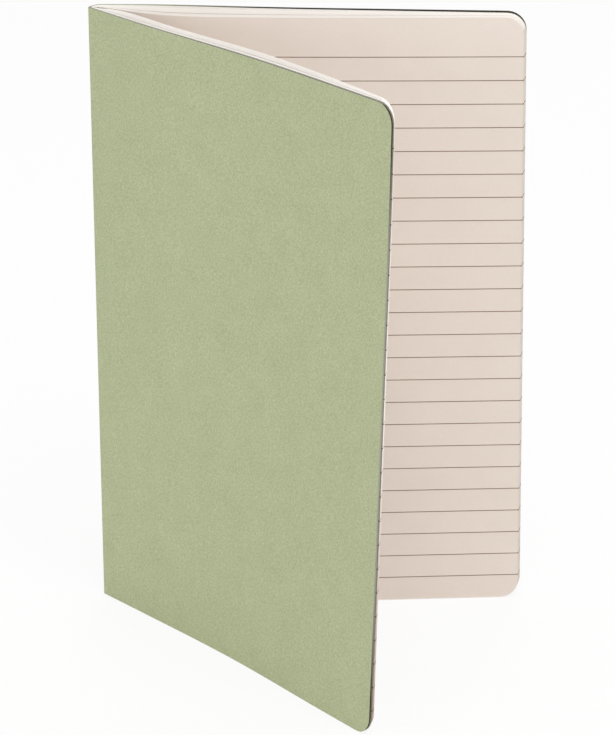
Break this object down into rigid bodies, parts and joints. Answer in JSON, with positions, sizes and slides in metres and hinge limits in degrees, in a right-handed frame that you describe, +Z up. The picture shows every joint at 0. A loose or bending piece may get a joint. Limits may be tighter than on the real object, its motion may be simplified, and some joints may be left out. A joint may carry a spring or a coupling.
{
  "type": "open soft-cover notebook",
  "caption": "Soft-cover ruled notebook with rounded fore-edge corners, standing open in a V on its bottom edges.",
  "frame": {"origin": "middle of the footprint's bounding box, on the surface the notebook stands on", "axes": "+Z up along the spine; +X along the back half from the spine to its fore edge; -Y towards the side on which the front half stands open"},
  "size_m": [0.143, 0.113, 0.21],
  "materials": {
    "cover_card": "matt sage green card with a fine paper grain",
    "leaf_paper": "matt cream writing paper with thin grey-brown ruling",
    "staple_wire": "plain steel wire"
  },
  "bodies": {
    "book_block": {"leaves": "leaf_paper", "cover_spine": "cover_card", "lower_staple": "staple_wire", "upper_staple": "staple_wire"},
    "front_cover": {"front_cover": "cover_card"},
    "back_cover": {"back_cover": "cover_card"}
  },
  "joints": [
    {"name": "front_cover_turn", "type": "hinge", "parent": "book_block", "child": "front_cover", "pos_m": [-0.07148, 0.05187, 0], "axis": [0, 0, -1], "range_deg": [0, 150]},
    {"name": "back_cover_turn", "type": "hinge", "parent": "book_block", "child": "back_cover", "pos_m": [-0.06807, 0.05553, 0], "axis": [0, 0, 1], "range_deg": [0, 150]}
  ]
}
